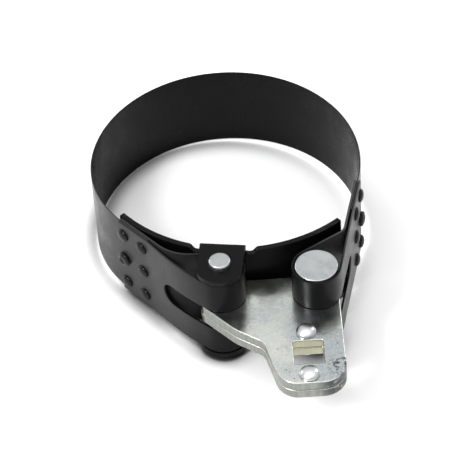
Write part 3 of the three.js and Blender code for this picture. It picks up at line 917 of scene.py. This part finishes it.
def black_paint(name, roughness, grain=0.00004, gloss=0.1, outside=None, reflection_near=()):
    """Baked-on black enamel with orange peel, thinner and greyer along its edges.

    Where a paleness level is given, faces that look away from the ring's centre get a painted reflection:
    a base colour that pale, kept round the listed places when places are listed.
    """
    dust_share, wear_share, pale = 0.12, 0.2, grey(0.05)
    shader = Shader(name)
    cloud = shader.noise(55.0)
    fine = shader.noise(900.0, 2.0)
    dust = shader.remap(shader.noise(2600.0, 2.0), 0.66, 0.78)
    base = shader.mix(cloud, grey(0.0012, (1.0, 0.92, 0.96)), grey(0.0035, (1.0, 0.93, 0.96)))
    # painted reflection: faces that look away from the ring's centre get a paler base colour
    if outside:
        outer = shader.looking_out(to_row(0, 0, MID_HEIGHT))
        for place in reflection_near:
            outer = shader.math("MULTIPLY", outer, shader.near(place, *REFLECTION_REACH))
        base = shader.mix(outer, base, grey(outside))
    patchy = shader.remap(shader.noise(260.0), 0.4, 0.65)
    worn = shader.math("MULTIPLY", shader.edges(0.54, 0.62), patchy)
    dusty = shader.mix(shader.math("MULTIPLY", dust, dust_share), base, pale)
    shader.set(
        Base_Color=shader.mix(shader.math("MULTIPLY", worn, wear_share), dusty, pale),
        Roughness=shader.remap(shader.noise(120.0, 4.0), 0.3, 0.7, roughness - 0.05, roughness + 0.07),
        Normal=shader.bump(fine, grain, 0.6),
        Specular_IOR_Level=gloss,
    )
    return shader.material


def zinc_plate():
    """Bright zinc on stamped steel: cloudy, specked, with rough sheared edges."""
    shader = Shader("zinc_plate_look")
    cloud = shader.noise(38.0, 4.0, 0.6)
    patch = shader.noise(150.0, 4.0, 0.6)
    grain = shader.noise(1300.0, 2.0, 0.7)
    dull = grey(0.44, (0.9, 0.98, 1.0))
    bright = grey(0.63, (0.96, 1.0, 0.92))
    face = shader.mix(shader.remap(cloud, 0.4, 0.6), dull, bright)
    face = shader.mix(shader.remap(patch, 0.45, 0.7, 0.0, 0.5), face, grey(0.33, (0.88, 0.98, 1.0)))
    face = shader.mix(shader.remap(grain, 0.35, 0.75, 0.0, 0.3), face, grey(0.82, (0.97, 1.0, 0.98)))
    wall = shader.steepness()
    shear = shader.noise(900.0, 3.0, 0.6, (1.0, 1.0, 0.08))
    wall_colour = shader.mix(shear, grey(0.14, (1.0, 1.0, 0.86)), grey(0.38, (0.98, 1.0, 0.93)))
    drive = shader.near(to_row(DRIVE_CENTRE.x, DRIVE_CENTRE.y, MID_HEIGHT), *DRIVE_REACH)
    olive = shader.mix(shear, grey(0.34, (1.0, 0.98, 0.66)), grey(0.48, (1.0, 0.98, 0.72)))
    wall_colour = shader.mix(drive, wall_colour, olive)
    colour = shader.mix(wall, face, wall_colour)
    specks = shader.remap(shader.spots(300.0), 0.12, 0.07)
    specks = shader.math("MULTIPLY", specks, shader.remap(shader.noise(70.0), 0.5, 0.58))
    marked = shader.near(to_row(*FACE_MARKS_AT), *FACE_MARKS_REACH)
    marks = shader.math("MULTIPLY", marked, shader.remap(shader.noise(520.0, 3.0, 0.6), 0.5, 0.57))
    rubbed = shader.near(to_row(*WALL_SCUFFS_AT), *WALL_SCUFFS_REACH)
    blotches = shader.remap(shader.noise(420.0, 4.0, 0.7), 0.38, 0.45)
    rubs = shader.math("MULTIPLY", rubbed, blotches)
    scuffs = shader.math("MAXIMUM", marks, shader.math("MULTIPLY", rubs, wall))
    dirt = shader.math("MAXIMUM", specks, scuffs)
    shader.set(
        Base_Color=shader.mix(dirt, colour, grey(0.03)),
        Metallic=shader.remap(dirt, 0.0, 1.0, 1.0, 0.2),
        Roughness=shader.math(
            "ADD",
            shader.remap(patch, 0.3, 0.7, 0.17, 0.27),
            shader.math("MULTIPLY", wall, 0.16),
        ),
        Normal=shader.bump(
            shear, 0.00012, shader.math("MULTIPLY", wall, 0.8),
            shader.bump(shader.noise(520.0, 3.0), 0.00002, 0.7),
        ),
    )
    return shader.material


def bright_steel():
    """Plated pin ends: pale, slightly blue and faintly mottled."""
    shader = Shader("bright_steel_look")
    mottle = shader.noise(260.0, 5.0, 0.65)
    colour = shader.mix(mottle, grey(0.38, (0.94, 0.99, 1.0)), grey(0.52, (0.95, 1.0, 1.0)))
    shader.set(
        Base_Color=colour,
        Metallic=1.0,
        Roughness=shader.remap(mottle, 0.3, 0.7, 0.26, 0.4),
        Normal=shader.bump(shader.noise(700.0, 4.0, 0.6), 0.00004, 0.6),
    )
    return shader.material


def polished_zinc():
    """Lever rivets: smooth bright domes."""
    shader = Shader("polished_zinc_look")
    mottle = shader.noise(420.0, 3.0)
    shader.set(
        Base_Color=shader.mix(mottle, grey(0.5, (0.97, 1.0, 1.0)), grey(0.64, (0.97, 1.0, 1.0))),
        Metallic=1.0,
        Roughness=shader.remap(mottle, 0.3, 0.7, 0.27, 0.35),
    )
    return shader.material


def joint_middle(side):
    """Between a joint's two columns of rivets."""
    spot = side.place(sum(side.rivets_at) / 2, side.outer_face)
    return to_row(spot.x, spot.y, MID_HEIGHT)


# The pale levels given to the band and straps paint a reflection on their outward faces.
LOOKS = {
    "band_paint": black_paint("band_paint_look", 0.3, outside=0.035),
    "left_strap_paint": black_paint(
        "left_strap_look", 0.3, outside=0.032, reflection_near=[joint_middle(left_joint)],
    ),
    "right_strap_paint": black_paint(
        "right_strap_look", 0.3, outside=0.06, reflection_near=[joint_middle(right_joint)],
    ),
    "shoe_paint": black_paint("shoe_paint_look", 0.44, 0.00007),
    "rivet_paint": black_paint("rivet_paint_look", 0.24, 0.00002, 0.2),
    "zinc": zinc_plate(),
    "polished": polished_zinc(),
    "steel": bright_steel(),
}


def dress(obj, look):
    obj.data.materials.clear()
    obj.data.materials.append(LOOKS[look])
    return obj


def finish_piece(obj, body, look, slot, *nodes):
    dress(obj, look)
    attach(obj, body)
    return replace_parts(obj, *nodes)


# ---- camera ----------------------------------------------------------------------------------------
def make_camera():
    """Looks along the wrench from its lever's end, from above and a little tilted."""
    elevation, roll = math.radians(45.22), math.radians(-3.71)
    lens, sensor = 208, 36
    eye = to_row(-1.83, -843.53, 852.24)
    forward = Vector((0, math.cos(elevation), -math.sin(elevation)))
    level_right = Vector((1, 0, 0))
    level_up = Vector((0, math.sin(elevation), math.cos(elevation)))
    right = level_right * math.cos(roll) + level_up * math.sin(roll)
    up = level_up * math.cos(roll) - level_right * math.sin(roll)
    data = bpy.data.cameras.new("camera")
    data.lens = lens
    data.sensor_width = sensor
    camera = bpy.data.objects.new("camera", data)
    camera.matrix_world = Matrix((
        (right.x, up.x, -forward.x, eye.x),
        (right.y, up.y, -forward.y, eye.y),
        (right.z, up.z, -forward.z, eye.z),
        (0, 0, 0, 1),
    ))
    bpy.context.scene.collection.objects.link(camera)
    bpy.context.scene.camera = camera


# ---- floor, lights, world ------------------------------------------------------------------------
def make_floor():
    """A sloping floor that passes just under the pin's foot and under the band's rear left edge, with a
    painted contact shadow: its colour darkens where something stands close by.
    """
    foot = Vector((pin_centre.x, pin_centre.y, pin_low.z))
    slope_x, slope_y = -0.038, 0.0363
    half_size, gap, painted_shadow_reach = 3.0, 0.0003, 0.014
    normal = Vector((-slope_x, -slope_y, 1)).normalized()
    work = bmesh.new()
    bmesh.ops.create_grid(work, x_segments=8, y_segments=8, size=half_size)
    mesh = bpy.data.meshes.new("floor")
    work.to_mesh(mesh)
    work.free()
    floor = bpy.data.objects.new("floor", mesh)
    bpy.context.scene.collection.objects.link(floor)
    turn = Vector((0, 0, 1)).rotation_difference(normal)
    floor.matrix_world = Matrix.Translation(foot - normal * gap) @ turn.to_matrix().to_4x4()
    shader = Shader("floor_look")
    clear = shader.openness(painted_shadow_reach)
    shader.set(
        # painted contact shadow: the floor's colour goes dark near anything standing on it
        Base_Color=shader.mix(shader.remap(clear, 0.4, 0.92), grey(0.03), grey(0.91)),
        Roughness=0.85,
        Specular_IOR_Level=0.2,
    )
    mesh.materials.append(shader.material)


def make_softbox(name, direction, distance, width, height, power):
    """A rectangular light that faces the wrench. Lengths are in metres and power is in watts."""
    data = bpy.data.lights.new(name, "AREA")
    data.shape = "RECTANGLE"
    data.size = width
    data.size_y = height
    data.energy = power
    light = bpy.data.objects.new(name, data)
    light.location = Vector(direction).normalized() * distance
    light.rotation_euler = (-light.location).to_track_quat("-Z", "Y").to_euler()
    bpy.context.scene.collection.objects.link(light)


def make_world():
    """A dome that is brightest overhead."""
    world = bpy.data.worlds.new("studio")
    world.use_nodes = True
    tree = world.node_tree
    place = tree.nodes.new("ShaderNodeTexCoord")
    split = tree.nodes.new("ShaderNodeSeparateXYZ")
    ramp = tree.nodes.new("ShaderNodeValToRGB")
    tree.links.new(place.outputs["Generated"], split.inputs[0])
    tree.links.new(split.outputs[2], ramp.inputs[0])
    ramp.color_ramp.elements[0].position = 0.0
    ramp.color_ramp.elements[0].color = grey(0.48)
    ramp.color_ramp.elements[1].position = 1.0
    ramp.color_ramp.elements[1].color = grey(1.75)
    ramp.color_ramp.elements.new(0.75).color = grey(0.73)
    background = tree.nodes["Background"]
    tree.links.new(ramp.outputs[0], background.inputs["Color"])
    background.inputs["Strength"].default_value = 1.35
    bpy.context.scene.world = world


def make_studio():
    make_world()
    make_floor()
    make_softbox("key_light", (-0.55, -0.48, 0.78), distance=1.5, width=0.24, height=0.42, power=14)
    make_softbox("side_light", (0.8, 0.75, 0.6), distance=1.6, width=0.4, height=0.6, power=3)
    make_softbox("back_light", (-0.9, 0.8, 0.45), distance=1.6, width=0.5, height=0.3, power=5)
    view = bpy.context.scene.view_settings
    view.view_transform = "Standard"
    view.look = "None"
    view.exposure = 0.0


# ---- assembly --------------------------------------------------------------------------------------
def assemble_band():
    """Cuts the whole band at the ring's back into its two halves, dresses each in the band's paint and
    hides the CAD band.
    """
    whole = make_band()
    for side, name, strap, before, after in (
        (left_joint, "band_left_half", "left_strap", 22, -1),
        (right_joint, "band_right_half", "right_strap", 16, 1.5),
    ):
        half = dress(take_half(whole, name, side), "band_paint")
        hinge = side.place(0, 0)
        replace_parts(half, "band")
        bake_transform(half)
    bpy.data.objects.remove(whole)


def assemble():
    assemble_band()
    finish_piece(make_left_strap(), "left_strap", "left_strap_paint", "black_paint", "left_strap")
    finish_piece(make_right_strap(), "right_strap", "right_strap_paint", "black_paint", "right_strap")
    for side_name, side in (("left", left_joint), ("right", right_joint)):
        for column, along in zip(("end", "leg"), side.rivets_at):
            for row, height in zip(("upper", "middle", "lower"), RIVET_ROWS):
                node = f"{side_name}_rivet_{column}_{row}"
                wide = (column, row) == ("end", "middle")
                rivet = make_band_rivet(node + "_formed", side, along, height, wide)
                finish_piece(rivet, f"{side_name}_strap", "rivet_paint", "black_rivet", node)
    finish_piece(make_shoe(), "shoe", "shoe_paint", "black_paint", "shoe")
    upper = make_plate("lever_upper_stamping", MID_HEIGHT + PLATE_GAP / 2, PLATES_TOP)
    lower = make_plate("lever_lower_stamping", PLATES_FOOT, MID_HEIGHT - PLATE_GAP / 2)
    finish_piece(upper, "lever", "zinc", "zinc_plate", "lever_upper_plate")
    finish_piece(lower, "lever", "zinc", "zinc_plate", "lever_lower_plate")
    for place, centre in zip(("rear", "front"), LEVER_RIVETS):
        rivet = make_lever_rivet(f"lever_rivet_{place}_domed", centre)
        finish_piece(rivet, "lever", "polished", "zinc_plate", f"lever_rivet_{place}")
    finish_piece(make_pivot_pin("pivot_pin_peened"), "shoe", "steel", "bright_steel", "pivot_pin")
    bush_top = EAR_LOW - LAYER_GAP
    upper_bush = make_bush("pivot_bush_upper_turned", PLATES_TOP + LAYER_GAP, bush_top)
    lower_bush = make_bush("pivot_bush_lower_turned", BAND_WIDTH - bush_top, PLATES_FOOT - LAYER_GAP)
    finish_piece(upper_bush, "shoe", "steel", "bright_steel", "pivot_bush_upper")
    finish_piece(lower_bush, "shoe", "steel", "bright_steel", "pivot_bush_lower")
    finish_piece(make_link_pin("link_pin_headed"), "lever", "steel", "bright_steel", "link_pin")
    link_collar = make_link_collar("link_pin_collar_turned")
    finish_piece(link_collar, "lever", "steel", "bright_steel", "link_pin_collar")


make_camera()
assemble()
make_studio()
